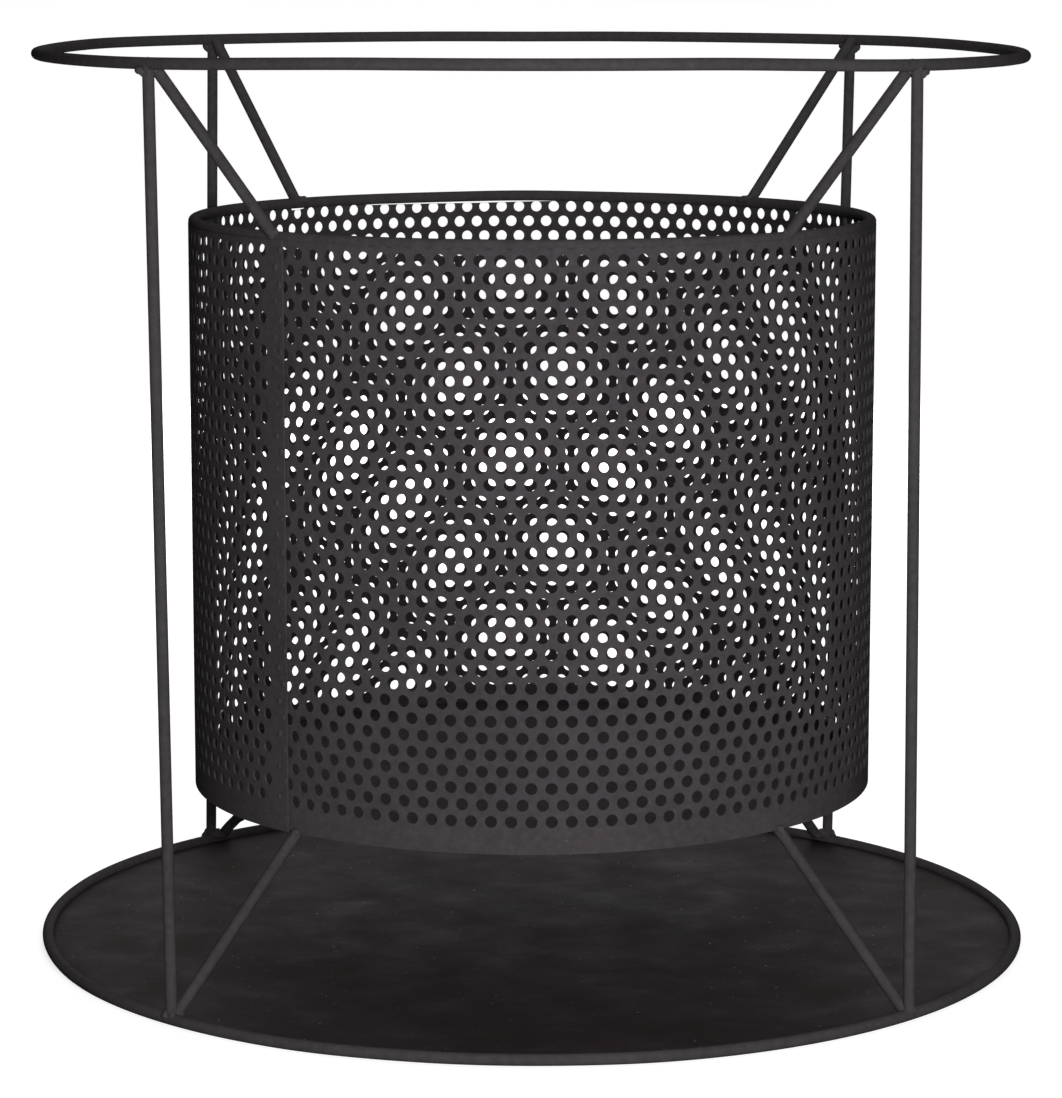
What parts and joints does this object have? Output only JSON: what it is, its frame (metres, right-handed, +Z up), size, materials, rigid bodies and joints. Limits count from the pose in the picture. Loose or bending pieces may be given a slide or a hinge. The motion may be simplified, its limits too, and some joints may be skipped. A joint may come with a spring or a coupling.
{
  "type": "brazier",
  "caption": "Round perforated steel fire basket held in a welded round-bar stand, over a flat ash plate inside its base ring.",
  "frame": {"origin": "middle of the footprint, on the ground, under the base plate", "axes": "+Z up along the basket's axis, -Y towards the front, +X to the right seen from the front"},
  "size_m": [0.5376, 0.5376, 0.4856],
  "materials": {
    "bar_black": "black heat-resistant coat, satin",
    "sheet_black": "black heat-resistant coat on perforated sheet, satin",
    "plate_steel": "black coat, scuffed and mottled brown",
    "weld_black": "coated weld metal, rippled"
  },
  "bodies": {
    "root": {"top_ring": "bar_black", "base_ring": "bar_black", "basket_rim": "bar_black", "basket_wall": "sheet_black", "basket_floor": "sheet_black", "base_plate": "plate_steel", "post_front_left": "bar_black", "post_front_right": "bar_black", "post_rear_left": "bar_black", "post_rear_right": "bar_black", "upper_stay_front_left": "bar_black", "upper_stay_front_right": "bar_black", "upper_stay_rear_left": "bar_black", "upper_stay_rear_right": "bar_black", "lower_stay_front_left": "bar_black", "lower_stay_front_right": "bar_black", "lower_stay_rear_left": "bar_black", "lower_stay_rear_right": "bar_black", "weld_post_head_front_left": "weld_black", "weld_post_head_front_right": "weld_black", "weld_post_head_rear_left": "weld_black", "weld_post_head_rear_right": "weld_black", "weld_post_foot_front_left": "weld_black", "weld_post_foot_front_right": "weld_black", "weld_post_foot_rear_left": "weld_black", "weld_post_foot_rear_right": "weld_black", "weld_rim_front_left": "weld_black", "weld_rim_front_right": "weld_black", "weld_rim_rear_left": "weld_black", "weld_rim_rear_right": "weld_black", "weld_basket_foot_front_left": "weld_black", "weld_basket_foot_front_right": "weld_black", "weld_basket_foot_rear_left": "weld_black", "weld_basket_foot_rear_right": "weld_black"}
  },
  "joints": []
}
